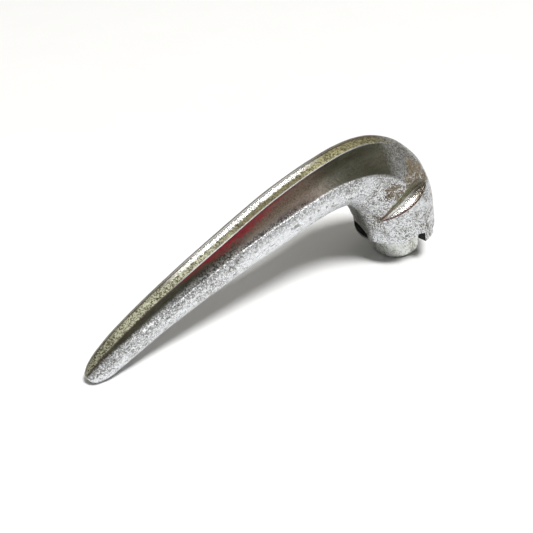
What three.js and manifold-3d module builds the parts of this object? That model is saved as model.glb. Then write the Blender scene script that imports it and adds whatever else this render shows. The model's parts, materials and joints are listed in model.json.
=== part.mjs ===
// Die-cast lever handle for a window or hatch catch, in millimetres, +Z up.
// The origin is the centre of the neck ring's bottom face, on the hub's turning axis.
// The arm runs along -X and is symmetric about the plane Y = 0.
import * as THREE from 'three';
import { mergeVertices } from 'three/addons/utils/BufferGeometryUtils.js';
import Module from 'manifold-3d';

const wasm = await Module();
wasm.setup();

// ---- driving dimensions -------------------------------------------------

const gap = 0.3; // running clearance between neighbouring pieces
const overcut = 1; // how far a cutter runs past the face it opens

const skirt = { radius: 11.85, wall: 1.7, rim: 8.0, raisedRim: 9.3, raisedFrom: 98, roof: 17.8 };
const neck = { radius: 6.6, chamfer: 0.4, lipBore: 5.0, bushBore: 5.7, lipTop: 1.6, top: 15.2 };
const flange = { radius: 8.8, bottom: 13.4 };
const sleeve = { radius: 4.5, bottom: 3.5, top: 29.5, socketTop: 26.0, square: 5.0 };
const bush = { bore: sleeve.radius + gap, radius: 5.4 };
const washer = { bore: 5.2, radius: 7.4 };
const thrustWasher = { bottom: 17.0, top: 17.5 };
const wave = { thickness: 0.3, height: 0.2, crests: 3, middle: 16.45 };
const lowerWasher = { bottom: 15.5, top: 15.9 };
const retainer = { bore: neck.radius + gap, radius: flange.radius, bottom: 12.6, top: 13.1 };
const snapRing = { inner: 8.2, outer: 10.6, bottom: 11.3, top: 12.0, mouth: 3 };
const groove = { radius: 10.95, bottom: 11.0, top: 12.3 };
const stop = { radius: 0.8, pitch: 8.5, bottom: 13.5, top: 20.5, swing: 90, margin: 8 };
const grub = { radius: 2.0, hole: 2.3, height: 22.4, inner: 2.7, outer: 9.8, key: 1.15, keyDepth: 2 };
const arch = { angle: -98, halfWidth: 3.3, springing: 8.2, top: 10.4 };
const port = { angle: 166, halfWidth: 4.1, bottom: 10.0, top: 13.2 };
const lug = { inner: 9.0, from: 62, to: 84.5, bottom: 6.4, top: 10.4 };

// Casting stations from the tip to the rim. Each section plane holds the line from
// the outer guide point to the inner one, both [x, z] on the plane of symmetry, and
// the Y direction. crest is the height of the widest line as a share of the section,
// band and drop are the half-width and fall of the keeled top band, flute is how far
// the side is hollowed and dome blends the arm's section into the round hub's.
const stations = [
  { outer: [-105.5, 22.4], inner: [-105.4, 21.5], half: 0.6, crest: 0.5,
    band: 0.3, drop: 0.2, flute: 0, dome: 0 },
  { outer: [-105.0, 23.9], inner: [-104.7, 20.0], half: 1.8, crest: 0.5,
    band: 0.8, drop: 0.7, flute: 0, dome: 0 },
  { outer: [-103.6, 25.6], inner: [-103.0, 19.1], half: 2.6, crest: 0.52,
    band: 1.4, drop: 1.1, flute: 0.02, dome: 0 },
  { outer: [-100.0, 27.9], inner: [-99.6, 18.8], half: 3.3, crest: 0.54,
    band: 1.8, drop: 1.4, flute: 0.05, dome: 0 },
  { outer: [-93.5, 30.7], inner: [-93.0, 20.0], half: 3.8, crest: 0.57,
    band: 2.1, drop: 1.5, flute: 0.12, dome: 0 },
  { outer: [-84.0, 33.7], inner: [-83.0, 22.1], half: 4.1, crest: 0.57,
    band: 2.3, drop: 1.5, flute: 0.3, dome: 0 },
  { outer: [-72.0, 36.9], inner: [-70.5, 23.8], half: 4.5, crest: 0.57,
    band: 2.4, drop: 1.5, flute: 0.55, dome: 0 },
  { outer: [-58.0, 40.0], inner: [-56.0, 25.4], half: 5.0, crest: 0.55,
    band: 2.5, drop: 1.4, flute: 0.8, dome: 0 },
  { outer: [-45.0, 42.8], inner: [-42.5, 26.4], half: 5.5, crest: 0.52,
    band: 2.5, drop: 1.4, flute: 1.0, dome: 0 },
  { outer: [-34.0, 44.3], inner: [-31.5, 27.3], half: 6.2, crest: 0.51,
    band: 2.5, drop: 1.4, flute: 1.2, dome: 0 },
  { outer: [-25.0, 44.8], inner: [-24.5, 27.6], half: 7.2, crest: 0.52,
    band: 2.5, drop: 1.3, flute: 1.4, dome: 0 },
  { outer: [-17.0, 44.6], inner: [-19.2, 26.8], half: 8.6, crest: 0.53,
    band: 2.5, drop: 1.2, flute: 1.6, dome: 0.03 },
  { outer: [-9.5, 43.2], inner: [-16.6, 24.2], half: 9.9, crest: 0.56,
    band: 2.4, drop: 1.1, flute: 1.6, dome: 0.2 },
  { outer: [-2.8, 40.2], inner: [-14.8, 21.4], half: 10.9, crest: 0.58,
    band: 2.2, drop: 1.0, flute: 1.2, dome: 0.6 },
  { outer: [3.5, 35.5], inner: [-13.5, 18.2], half: 11.5, crest: 0.58,
    band: 1.9, drop: 0.7, flute: 0, dome: 0.9 },
  { outer: [8.3, 29.1], inner: [-12.6, 15.2], half: 11.8, crest: 0.55,
    band: 1.5, drop: 0.4, flute: 0, dome: 1 },
  { outer: [11.0, 21.5], inner: [-11.9, 13.0], half: 11.9, crest: 0.52,
    band: 1.2, drop: 0.2, flute: 0, dome: 1 },
  { outer: [11.85, 13.5], inner: [-11.85, 10.6], half: 11.85, crest: 0.5,
    band: 1.0, drop: 0, flute: 0, dome: 1 },
  { outer: [11.85, 8.0], inner: [-11.85, 8.0], half: 11.85, crest: 0.5,
    band: 1.0, drop: 0, flute: 0, dome: 1 },
];
const sectionCount = 76; // sections along the casting
const facetSteps = 2; // steps across one facet of the top band
const fluteSteps = 7; // steps down one hollow side
const bellySteps = 8; // steps round one side of the belly

// Shape of one section: how round the band's facets are, how near the band the hollow
// is deepest, where the shoulder below it sits and how full the belly is.
const section = {
  facetBow: 0.4,
  hollowSkew: 0.65,
  shoulderSide: 0.97,
  shoulderLift: 0.06,
  widestDrop: 0.02,
  shoulderTurn: 0.6,
  bellyPower: 0.87,
  cornerLift: 0.1,
};

// Leaf-shaped scoop on each side of the hub, by the angle round the axis from the arm.
const leaf = {
  start: 31,
  span: 88,
  low: 18.1,
  rise: 5.2,
  riseSpan: 74,
  risePower: 0.85,
  height: 6.4,
  endPower: 0.75,
  depth: 1.8,
  ledge: 0.42,
  fallPower: 1.4,
};

// ---- materials ----------------------------------------------------------

const paint = (color, roughness, metalness) =>
  new THREE.MeshStandardMaterial({ color, roughness, metalness });
const plating = paint(0xb9b8b2, 0.38, 1);
const palePlating = paint(0xb4b8ab, 0.5, 0.9);
const zincSteel = paint(0xa8a59a, 0.45, 1);
const springSteel = paint(0x5d5f63, 0.4, 1);
const bronze = paint(0xa9793f, 0.45, 1);
const polymer = paint(0xd8d2c0, 0.6, 0);
const darkSteel = paint(0x37383a, 0.5, 1);

// ---- helpers --------------------------------------------------------------

const radians = (degrees) => (degrees * Math.PI) / 180;

function closedMesh(geometry) {
  const bare = geometry.clone();
  bare.deleteAttribute('normal');
  bare.deleteAttribute('uv');
  return mergeVertices(bare, 1e-4);
}

function solid(geometry) {
  const welded = closedMesh(geometry);
  return new wasm.Manifold(
    new wasm.Mesh({
      numProp: 3,
      vertProperties: new Float32Array(welded.attributes.position.array),
      triVerts: new Uint32Array(welded.index.array),
    }),
  );
}

function geometryOf(manifold) {
  const mesh = manifold.getMesh();
  const geometry = new THREE.BufferGeometry();
  geometry.setAttribute('position', new THREE.BufferAttribute(mesh.vertProperties, 3));
  geometry.setIndex(new THREE.BufferAttribute(mesh.triVerts, 1));
  geometry.computeVertexNormals();
  return geometry;
}

// Solid of revolution about Z from [radius, height] points that close on themselves.
function revolved(points, segments = 48) {
  const closed = [...points, points[0]].map(([r, z]) => new THREE.Vector2(r, z));
  return new THREE.LatheGeometry(closed, segments).rotateX(Math.PI / 2);
}

// Flat-ended tube about Z, its outline run so that the faces point out.
function tube(inner, outer, bottom, top, segments = 36) {
  return revolved([[inner, bottom], [outer, bottom], [outer, top], [inner, top]], segments);
}

function disc(radius, bottom, top, segments = 36) {
  const cylinder = new THREE.CylinderGeometry(radius, radius, top - bottom, segments);
  return cylinder.rotateX(Math.PI / 2).translate(0, 0, (top + bottom) / 2);
}

// Prism over a sector of a ring, angles in degrees from +X.
function sector(inner, outer, from, to, bottom, top) {
  const shape = new THREE.Shape();
  shape.absarc(0, 0, outer, radians(from), radians(to), false);
  shape.absarc(0, 0, inner, radians(to), radians(from), true);
  const prism = new THREE.ExtrudeGeometry(shape, {
    depth: top - bottom,
    bevelEnabled: false,
    curveSegments: 16,
  });
  return prism.translate(0, 0, bottom);
}

function outward(geometry) {
  const welded = closedMesh(geometry);
  const p = welded.attributes.position;
  const index = welded.index;
  const [a, b, c] = [new THREE.Vector3(), new THREE.Vector3(), new THREE.Vector3()];
  let volume = 0;
  for (let i = 0; i < index.count; i += 3) {
    a.fromBufferAttribute(p, index.getX(i));
    b.fromBufferAttribute(p, index.getX(i + 1));
    c.fromBufferAttribute(p, index.getX(i + 2));
    volume += a.dot(b.cross(c));
  }
  if (volume > 0) return welded;
  const flipped = Array.from(index.array).reverse();
  welded.setIndex(flipped);
  return welded;
}

// ---- lever casting ----------------------------------------------------------

// Station values at a fraction of the way from the tip to the rim.
function stationAt(fraction) {
  const place = fraction * (stations.length - 1);
  const i = Math.min(Math.floor(place), stations.length - 2);
  const t = place - i;
  const flat = (s) => [...s.outer, ...s.inner, s.half, s.crest, s.band, s.drop, s.flute, s.dome];
  const pick = (k) => flat(stations[Math.max(0, Math.min(stations.length - 1, k))]);
  const [p0, p1, p2, p3] = [pick(i - 1), pick(i), pick(i + 1), pick(i + 2)];
  return p1.map((v, k) => {
    const linear = (p2[k] - p0[k]) * t;
    const square = (2 * p0[k] - 5 * v + 4 * p2[k] - p3[k]) * t * t;
    const cube = (3 * v - p0[k] - 3 * p2[k] + p3[k]) * t * t * t;
    return v + (linear + square + cube) / 2;
  });
}

// Half outline of one section, [side, height], from the ridge to the bottom.
function halfOutline(height, half, crest, band, drop, flute, dome) {
  const points = [];
  for (let i = 0; i < facetSteps; i += 1) {
    const t = i / facetSteps;
    const fall = t * (1 - section.facetBow) + t * t * section.facetBow;
    points.push([band * t, height - drop * fall]);
  }

  const edge = [band, height - drop];
  const shoulder = [half * section.shoulderSide, (crest + section.shoulderLift) * height];
  const across = [shoulder[0] - edge[0], shoulder[1] - edge[1]];
  const length = Math.hypot(...across);
  const inward = [across[1] / length, -across[0] / length];
  for (let i = 0; i < fluteSteps; i += 1) {
    const t = i / fluteSteps;
    const hollow = flute * Math.sin(Math.PI * t ** section.hollowSkew);
    const side = edge[0] + across[0] * t + inward[0] * hollow;
    points.push([side, edge[1] + across[1] * t + inward[1] * hollow]);
  }

  const widest = (crest - section.widestDrop) * height;
  const lift = shoulder[1] - widest;
  const startAngle = Math.asin(Math.min(1, lift / (height - widest))) * section.shoulderTurn;
  for (let i = 0; i <= bellySteps; i += 1) {
    const t = i / bellySteps;
    const angle = startAngle * (1 - t) - (Math.PI / 2) * t;
    const side = half * Math.abs(Math.cos(angle)) ** section.bellyPower;
    const above = (lift * Math.sin(angle)) / Math.sin(startAngle);
    points.push([side, widest + (angle < 0 ? widest * Math.sin(angle) : above)]);
  }
  return blendToRound(points, height, half, crest, Math.min(1, Math.max(0, dome)));
}

// Moves the outline's points toward an ellipse that keeps the shoulder's height.
function blendToRound(points, height, half, crest, blend) {
  const corner = facetSteps + fluteSteps;
  const cornerAngle = Math.acos(2 * crest - 1 + section.cornerLift * (1 - blend));
  return points.map(([y, h], i) => {
    const below = (i - corner) / (points.length - 1 - corner);
    const lower = cornerAngle + below * (Math.PI - cornerAngle);
    const angle = i <= corner ? (i / corner) * cornerAngle : lower;
    const round = [half * Math.sin(angle), (height / 2) * (1 + Math.cos(angle))];
    return [y + (round[0] - y) * blend, h + (round[1] - h) * blend];
  });
}

// Depth of the leaf scoop at a point of the hub's surface.
function scoopDepth(x, y, z) {
  const angle = (Math.atan2(Math.abs(y), -x) * 180) / Math.PI - leaf.start;
  const along = angle / leaf.span;
  if (along <= 0 || along >= 1) return 0;
  const edge = leaf.low + leaf.rise * (angle / leaf.riseSpan) ** leaf.risePower;
  const share = Math.sin(Math.PI * along) ** leaf.endPower;
  const up = (z - edge) / (leaf.height * share);
  if (up <= 0 || up >= 1) return 0;
  const ledge = Math.sin((up / leaf.ledge) * (Math.PI / 2));
  const fall = ((1 - up) / (1 - leaf.ledge)) ** leaf.fallPower;
  return leaf.depth * share * (up < leaf.ledge ? ledge : fall);
}

function castingShell() {
  const rows = [];
  for (let s = 0; s < sectionCount; s += 1) {
    const [ox, oz, ix, iz, ...shape] = stationAt(s / (sectionCount - 1));
    const height = Math.hypot(ox - ix, oz - iz);
    const up = [(ox - ix) / height, (oz - iz) / height];
    const half = halfOutline(height, ...shape);
    const ring = [...half.map(([y, h]) => [-y, h]), ...half.slice(1, -1).reverse()];
    rows.push(
      ring.map(([y, h]) => {
        const x = ix + up[0] * h;
        const z = iz + up[1] * h;
        const shrink = 1 - scoopDepth(x, y, z) / Math.max(1, Math.hypot(x, y));
        return [x * shrink, y * shrink, z];
      }),
    );
  }
  const around = rows[0].length;
  const positions = rows.flat(2);
  const centre = (row) => [0, 1, 2].map((k) => row.reduce((sum, p) => sum + p[k], 0) / around);
  positions.push(...centre(rows[0]), ...centre(rows[sectionCount - 1]));
  const tipCentre = sectionCount * around;
  const index = [];
  for (let j = 0; j < around; j += 1) {
    const next = (j + 1) % around;
    for (let s = 0; s < sectionCount - 1; s += 1) {
      const [a, b] = [s * around + j, s * around + next];
      index.push(a, b, a + around, b, b + around, a + around);
    }
    const last = (sectionCount - 1) * around;
    index.push(tipCentre, next, j);
    index.push(tipCentre + 1, last + j, last + next);
  }
  const geometry = new THREE.BufferGeometry();
  geometry.setAttribute('position', new THREE.Float32BufferAttribute(positions, 3));
  geometry.setIndex(index);
  return outward(geometry);
}

// Prism cut radially through the skirt's wall, its angle in degrees from +X.
function wallCutter(shape, height, angle) {
  const inner = skirt.radius - 2 * skirt.wall;
  const depth = skirt.radius + overcut - inner;
  const prism = new THREE.ExtrudeGeometry(shape, { depth, bevelEnabled: false, curveSegments: 12 });
  prism.rotateX(Math.PI / 2).rotateZ(Math.PI / 2).translate(inner, 0, height);
  return prism.rotateZ(radians(angle));
}

function archCutter() {
  const { angle, halfWidth, springing, top } = arch;
  const foot = skirt.rim - springing - overcut;
  const shape = new THREE.Shape();
  shape.absellipse(0, 0, halfWidth, top - springing, 0, Math.PI, false);
  shape.lineTo(-halfWidth, foot);
  shape.lineTo(halfWidth, foot);
  return wallCutter(shape, springing, angle);
}

// Flat-silled window beside the snap ring, through which its open ends can be reached.
function portCutter() {
  const { angle, halfWidth, bottom, top } = port;
  const shape = new THREE.Shape();
  shape.absellipse(0, 0, halfWidth, top - bottom, 0, Math.PI, false);
  return wallCutter(shape, bottom, angle);
}

function radialBore(radius, from, to, height, segments = 24) {
  const bore = new THREE.CylinderGeometry(radius, radius, to - from, segments);
  return bore.rotateZ(Math.PI / 2).translate((from + to) / 2, 0, height);
}

// Lugs hang from the rim on both sides; the flange passes between them.
function leverCasting() {
  const cavity = skirt.radius - skirt.wall;
  const raised = [skirt.raisedFrom, 360 - skirt.raisedFrom];
  const cuts = [
    disc(cavity, 0, skirt.roof, 64),
    disc(groove.radius, groove.bottom, groove.top, 64),
    disc(sleeve.radius + gap, skirt.roof - overcut, sleeve.top + gap, 40),
    sector(cavity - overcut, skirt.radius + overcut, ...raised, 0, skirt.raisedRim),
    archCutter(),
    portCutter(),
    disc(stop.radius + gap, skirt.roof - overcut, stop.top + gap, 16).translate(-stop.pitch, 0, 0),
    radialBore(grub.hole, grub.inner, skirt.radius + overcut, grub.height),
  ];
  const sides = [[lug.from, lug.to], [360 - lug.to, 360 - lug.from]];
  const lugs = sides.map((side) => sector(lug.inner, skirt.radius, ...side, lug.bottom, lug.top));
  const open = cuts.reduce((body, cut) => body.subtract(solid(outward(cut))), solid(castingShell()));
  return geometryOf(lugs.reduce((body, part) => body.add(solid(outward(part))), open));
}

// ---- the other pieces ---------------------------------------------------------

function baseFerrule() {
  const profile = [
    [neck.lipBore, 0],
    [neck.radius - neck.chamfer, 0],
    [neck.radius, neck.chamfer],
    [neck.radius, flange.bottom],
    [flange.radius, flange.bottom],
    [flange.radius, neck.top],
    [neck.bushBore, neck.top],
    [neck.bushBore, neck.lipTop],
    [neck.lipBore, neck.lipTop],
  ];
  const slotInner = stop.pitch - stop.radius - gap;
  const [from, to] = [180 - stop.margin, 180 + stop.swing + stop.margin];
  const [low, high] = [flange.bottom - overcut, neck.top + overcut];
  const slot = sector(slotInner, flange.radius + overcut, from, to, low, high);
  return geometryOf(solid(outward(revolved(profile, 56))).subtract(solid(outward(slot))));
}

function driveSleeve() {
  const depth = sleeve.socketTop - sleeve.bottom + overcut;
  const socket = new THREE.BoxGeometry(sleeve.square, sleeve.square, depth);
  socket.translate(0, 0, sleeve.socketTop - depth / 2);
  const body = solid(disc(sleeve.radius, sleeve.bottom, sleeve.top));
  const bore = radialBore(grub.hole, sleeve.square / 2 - overcut, sleeve.radius + overcut, grub.height);
  return geometryOf(body.subtract(solid(socket)).subtract(solid(bore)));
}

function bearingBush() {
  return tube(bush.bore, bush.radius, neck.lipTop + gap, neck.top - gap);
}

function flatWasher({ bottom, top }) {
  return tube(washer.bore, washer.radius, bottom, top);
}

function retainingWasher() {
  return tube(retainer.bore, retainer.radius, retainer.bottom, retainer.top);
}

function stopDowel() {
  return disc(stop.radius, stop.bottom, stop.top, 16).translate(-stop.pitch, 0, 0);
}

function waveWasher() {
  const segments = 48;
  const half = wave.thickness / 2;
  const geometry = tube(washer.bore, washer.radius, -half, half, segments);
  const p = geometry.attributes.position;
  for (let i = 0; i < p.count; i += 1) {
    const angle = Math.atan2(p.getY(i), p.getX(i));
    p.setZ(i, p.getZ(i) + wave.middle + wave.height * Math.cos(wave.crests * angle));
  }
  return geometry;
}

function snapRingSolid() {
  const { inner, outer, bottom, top, mouth } = snapRing;
  const ring = tube(inner, outer, bottom, top, 56);
  const open = new THREE.BoxGeometry(2 * (outer - inner), mouth, 4 * (top - bottom));
  open.translate((outer + inner) / 2, 0, bottom).rotateZ(radians(port.angle));
  return geometryOf(solid(outward(ring)).subtract(solid(open)));
}

function grubScrew() {
  const body = radialBore(grub.radius, grub.inner, grub.outer, grub.height);
  const key = new THREE.CylinderGeometry(grub.key, grub.key, 2 * grub.keyDepth, 6);
  key.rotateZ(Math.PI / 2).translate(grub.outer, 0, grub.height);
  return geometryOf(solid(body).subtract(solid(key)));
}

// ---- assembly -------------------------------------------------------------------

const group = new THREE.Group();

function add(name, geometry, material) {
  const mesh = new THREE.Mesh(outward(geometry), material);
  mesh.name = name;
  group.add(mesh);
}

add('lever_casting', leverCasting(), plating);
add('drive_sleeve', driveSleeve(), zincSteel);
add('grub_screw', grubScrew(), darkSteel);
add('thrust_washer', flatWasher(thrustWasher), polymer);
add('retaining_washer', retainingWasher(), zincSteel);
add('snap_ring', snapRingSolid(), springSteel);
add('stop_dowel', stopDowel(), darkSteel);
add('base_ferrule', baseFerrule(), palePlating);
add('bearing_bush', bearingBush(), bronze);
add('wave_washer', waveWasher(), springSteel);
add('lower_washer', flatWasher(lowerWasher), zincSteel);

export default group;
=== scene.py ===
import json
import math

import bpy
import numpy as np
from mathutils import Matrix, Vector, kdtree


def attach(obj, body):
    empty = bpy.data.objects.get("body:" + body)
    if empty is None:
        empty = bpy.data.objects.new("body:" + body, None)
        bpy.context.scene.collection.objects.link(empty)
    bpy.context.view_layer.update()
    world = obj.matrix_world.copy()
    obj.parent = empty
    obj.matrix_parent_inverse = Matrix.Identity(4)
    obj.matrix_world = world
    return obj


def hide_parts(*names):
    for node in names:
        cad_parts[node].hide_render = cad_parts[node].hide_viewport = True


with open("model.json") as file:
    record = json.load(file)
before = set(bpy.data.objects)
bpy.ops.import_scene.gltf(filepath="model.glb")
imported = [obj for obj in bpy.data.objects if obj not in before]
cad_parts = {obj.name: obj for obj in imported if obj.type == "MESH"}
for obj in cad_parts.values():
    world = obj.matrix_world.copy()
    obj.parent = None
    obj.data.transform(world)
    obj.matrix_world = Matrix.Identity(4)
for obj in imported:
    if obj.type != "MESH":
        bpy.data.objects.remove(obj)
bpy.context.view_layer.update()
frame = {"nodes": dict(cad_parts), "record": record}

MM = 0.001

# ---- the casting's shape, in millimetres, as the part's source has it ---------------

# Stations from the tip to the rim: outer guide x, z, inner guide x, z, half-width,
# height of the widest line, band half-width, band drop, flute depth, dome blend.
STATIONS = np.array([
    (-105.5, 22.4, -105.4, 21.5, 0.6, 0.50, 0.3, 0.2, 0.00, 0.00),
    (-105.0, 23.9, -104.7, 20.0, 1.8, 0.50, 0.8, 0.7, 0.00, 0.00),
    (-103.6, 25.6, -103.0, 19.1, 2.6, 0.52, 1.4, 1.1, 0.02, 0.00),
    (-100.0, 27.9, -99.6, 18.8, 3.3, 0.54, 1.8, 1.4, 0.05, 0.00),
    (-93.5, 30.7, -93.0, 20.0, 3.8, 0.57, 2.1, 1.5, 0.12, 0.00),
    (-84.0, 33.7, -83.0, 22.1, 4.1, 0.57, 2.3, 1.5, 0.30, 0.00),
    (-72.0, 36.9, -70.5, 23.8, 4.5, 0.57, 2.4, 1.5, 0.55, 0.00),
    (-58.0, 40.0, -56.0, 25.4, 5.0, 0.55, 2.5, 1.4, 0.80, 0.00),
    (-45.0, 42.8, -42.5, 26.4, 5.5, 0.52, 2.5, 1.4, 1.00, 0.00),
    (-34.0, 44.3, -31.5, 27.3, 6.2, 0.51, 2.5, 1.4, 1.20, 0.00),
    (-25.0, 44.8, -24.5, 27.6, 7.2, 0.52, 2.5, 1.3, 1.40, 0.00),
    (-17.0, 44.6, -19.2, 26.8, 8.6, 0.53, 2.5, 1.2, 1.60, 0.03),
    (-9.5, 43.2, -16.6, 24.2, 9.9, 0.56, 2.4, 1.1, 1.60, 0.20),
    (-2.8, 40.2, -14.8, 21.4, 10.9, 0.58, 2.2, 1.0, 1.20, 0.60),
    (3.5, 35.5, -13.5, 18.2, 11.5, 0.58, 1.9, 0.7, 0.00, 0.90),
    (8.3, 29.1, -12.6, 15.2, 11.8, 0.55, 1.5, 0.4, 0.00, 1.00),
    (11.0, 21.5, -11.9, 13.0, 11.9, 0.52, 1.2, 0.2, 0.00, 1.00),
    (11.85, 13.5, -11.85, 10.6, 11.85, 0.50, 1.0, 0.0, 0.00, 1.00),
    (11.85, 8.0, -11.85, 8.0, 11.85, 0.50, 1.0, 0.0, 0.00, 1.00),
])
# Sections along the casting, and steps across a facet of the top band, across its rounded
# edge (the land), down the flute and round one side of the belly.
SECTIONS = 620
FACET_STEPS = 14
LAND_STEPS = 8
FLUTE_STEPS = 50
BELLY_STEPS = 64

# Shape of one section: how round the band's facets are, how near the band the flute is
# deepest, where the shoulder below it sits and how full the belly is.
SECTION = {
    "facet_bow": 0.4,
    "hollow_skew": 0.65,
    "shoulder_side": 0.97,
    "shoulder_lift": 0.06,
    "widest_drop": 0.02,
    "shoulder_turn": 0.6,
    "belly_power": 0.87,
    "corner_lift": 0.1,
}
# The band's edge is rounded over this reach each way, or over a share of the facet or the
# flute where that is less.
EDGE_ROUNDING = {"reach": 0.16, "facet_share": 0.15, "flute_share": 0.1}

SKIRT = {"radius": 11.85, "wall": 1.7, "rim": 8.0, "raised_rim": 9.3, "raised_from": 98, "roof": 17.8}
NECK = {"radius": 6.6, "chamfer": 0.4}
OVERCUT = 1.0
SLEEVE = {"radius": 4.8, "top": 29.8}
GROOVE = {"radius": 10.95, "bottom": 11.0, "top": 12.3}
DOWEL_HOLE = {"radius": 1.1, "pitch": 8.5, "top": 20.8}
GRUB_HOLE = {"radius": 2.3, "height": 22.4, "inner": 2.7}
ARCH = {"angle": -98, "half": 3.3, "springing": 8.2, "top": 10.4}
PORT = {"angle": 166, "half": 4.1, "bottom": 10.0, "top": 13.2}
LUG = {"inner": 9.0, "from": 62, "to": 84.5, "bottom": 6.4, "top": 10.4}

# Leaf-shaped scoop on each side of the hub, by the angle round the axis from the arm.
LEAF = {
    "start": 31,
    "span": 88,
    "low": 18.1,
    "rise": 5.2,
    "rise_span": 74,
    "rise_power": 0.85,
    "height": 6.4,
    "end_power": 0.75,
    "depth": 1.8,
    "ledge": 0.42,
    "fall_power": 1.4,
}

# Unevenness of the cast skin: the size of its cells and how far it moves the surface.
WAVES = {"cell": 4.0, "height": 0.16}
LUMPS = {"cell": 1.3, "height": 0.07}
PITS = {"cell": 0.7, "patch_cell": 3.0, "depth": 0.10}

# Stains on the hub: degrees round from the arm, height and reach.
STAINS = ((55, 29, 5), (75, 29, 5), (95, 31, 7), (120, 28, 6), (31, 19.5, 2.5))


def smooth(low, high, value):
    t = np.clip((value - low) / (high - low), 0.0, 1.0)
    return t * t * (3 - 2 * t)


def station_at(fraction):
    """Catmull-Rom value of every station column at a fraction of the way to the rim."""
    place = fraction * (len(STATIONS) - 1)
    i = min(int(place), len(STATIONS) - 2)
    t = place - i
    p0, p1, p2, p3 = [STATIONS[max(0, min(len(STATIONS) - 1, k))] for k in (i - 1, i, i + 1, i + 2)]
    square = 2 * p0 - 5 * p1 + 4 * p2 - p3
    cube = 3 * p1 - p0 - 3 * p2 + p3
    return p1 + ((p2 - p0) * t + square * t * t + cube * t ** 3) / 2


def facet_point(t, height, band, drop):
    bow = SECTION["facet_bow"]
    return np.stack([band * t, height - drop * ((1 - bow) * t + bow * t * t)], -1)


def half_outline(height, half, crest, band, drop, flute, dome):
    """Half section from the ridge to the bottom as [side, height] rows."""
    blend = min(1.0, max(0.0, dome))
    edge = np.array([band, height - drop])
    shoulder = np.array([half * SECTION["shoulder_side"], (crest + SECTION["shoulder_lift"]) * height])
    across = shoulder - edge
    length = np.hypot(*across)
    inward = np.array([across[1], -across[0]]) / length
    land = min(EDGE_ROUNDING["flute_share"], EDGE_ROUNDING["reach"] / length)

    def hollow_point(t):
        depth = flute * np.sin(np.pi * t ** SECTION["hollow_skew"])
        return edge + across * t + inward * depth

    facet_end = 1 - min(EDGE_ROUNDING["facet_share"], EDGE_ROUNDING["reach"] / math.hypot(band, drop))
    facet = facet_point(np.arange(FACET_STEPS) / FACET_STEPS * facet_end, height, band, drop)
    first, last = facet_point(np.array(facet_end), height, band, drop), hollow_point(land)
    s = np.arange(LAND_STEPS)[:, None] / LAND_STEPS
    rounded = (1 - s) ** 2 * first + 2 * s * (1 - s) * edge + s * s * last
    t = land + (1 - land) * np.arange(FLUTE_STEPS)[:, None] / FLUTE_STEPS
    hollow = hollow_point(t)
    widest = (crest - SECTION["widest_drop"]) * height
    start = math.asin(min(1.0, (shoulder[1] - widest) / (height - widest))) * SECTION["shoulder_turn"]
    t = np.arange(BELLY_STEPS + 1) / BELLY_STEPS
    angle = start * (1 - t) - np.pi / 2 * t
    above = (shoulder[1] - widest) * np.sin(angle) / math.sin(start)
    rise = np.where(angle < 0, widest * np.sin(angle), above)
    belly = np.stack([half * np.abs(np.cos(angle)) ** SECTION["belly_power"], widest + rise], 1)
    arm = np.vstack([facet, rounded, hollow, belly])
    return arm + (hub_outline(len(arm), height, half, crest, blend) - arm) * blend


def hub_outline(count, height, half, crest, blend):
    """Half ellipse for the hub's section, point for point with the arm's outline."""
    corner = FACET_STEPS + LAND_STEPS + FLUTE_STEPS
    i = np.arange(count)
    corner_angle = math.acos(2 * crest - 1 + SECTION["corner_lift"] * (1 - blend))
    below = corner_angle + (i - corner) / BELLY_STEPS * (np.pi - corner_angle)
    angle = np.where(i <= corner, i / corner * corner_angle, below)
    return np.stack([half * np.sin(angle), height / 2 * (1 + np.cos(angle))], 1)


def scoop_place(points):
    """Place in the leaf scoop: its strength along the hub and the share of its height."""
    angle = np.degrees(np.arctan2(np.abs(points[:, 1]), -points[:, 0]))
    along = (angle - LEAF["start"]) / LEAF["span"]
    inside = (along > 0) & (along < 1)
    clipped = np.clip(along, 0, 1)
    risen = (np.clip(angle - LEAF["start"], 0, None) / LEAF["rise_span"]) ** LEAF["rise_power"]
    edge = LEAF["low"] + LEAF["rise"] * risen
    share = np.where(inside, np.sin(np.pi * clipped) ** LEAF["end_power"], 0.0)
    up = (points[:, 2] - edge) / np.maximum(LEAF["height"] * share, 1e-6)
    return share, np.where(inside, up, -1.0)


def scoop_depth(points):
    """Depth of the scoop, full a little above its lower edge and fading to its upper one."""
    share, up = scoop_place(points)
    ledge = np.sin(np.clip(up / LEAF["ledge"], 0, 1) * np.pi / 2)
    fall = (np.clip(1 - up, 0, 1) / (1 - LEAF["ledge"])) ** LEAF["fall_power"]
    profile = np.where(up < LEAF["ledge"], ledge, fall)
    return np.where((up > 0) & (up < 1), LEAF["depth"] * share * profile, 0.0)


def casting_grid():
    """Rows of section points in millimetres, and how far each row blends into the hub's dome."""
    rows = []
    domes = []
    for s in range(SECTIONS):
        values = station_at(s / (SECTIONS - 1))
        outer, inner = values[0:2], values[2:4]
        height = float(np.hypot(*(outer - inner)))
        up = (outer - inner) / height
        half = half_outline(height, *values[4:])
        ring = np.vstack([half * [-1, 1], half[1:-1][::-1]])
        x = inner[0] + up[0] * ring[:, 1]
        z = inner[1] + up[1] * ring[:, 1]
        rows.append(np.stack([x, ring[:, 0], z], 1))
        domes.append(min(1.0, max(0.0, values[9])))
    grid = np.array(rows)
    flat = grid.reshape(-1, 3)
    reach = np.maximum(1.0, np.hypot(flat[:, 0], flat[:, 1]))
    shrink = 1 - scoop_depth(flat) / reach
    flat[:, :2] *= shrink[:, None]
    return flat.reshape(grid.shape), np.array(domes)


# ---- noise on the surface -------------------------------------------------------------


# Large odd numbers that scatter a cell's place and the seed over 32 bits.
PLACE_PRIMES = (73856093, 19349663, 83492791)
SEED_PRIME = 2654435761
MIXING_PRIME = 1274126177


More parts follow.
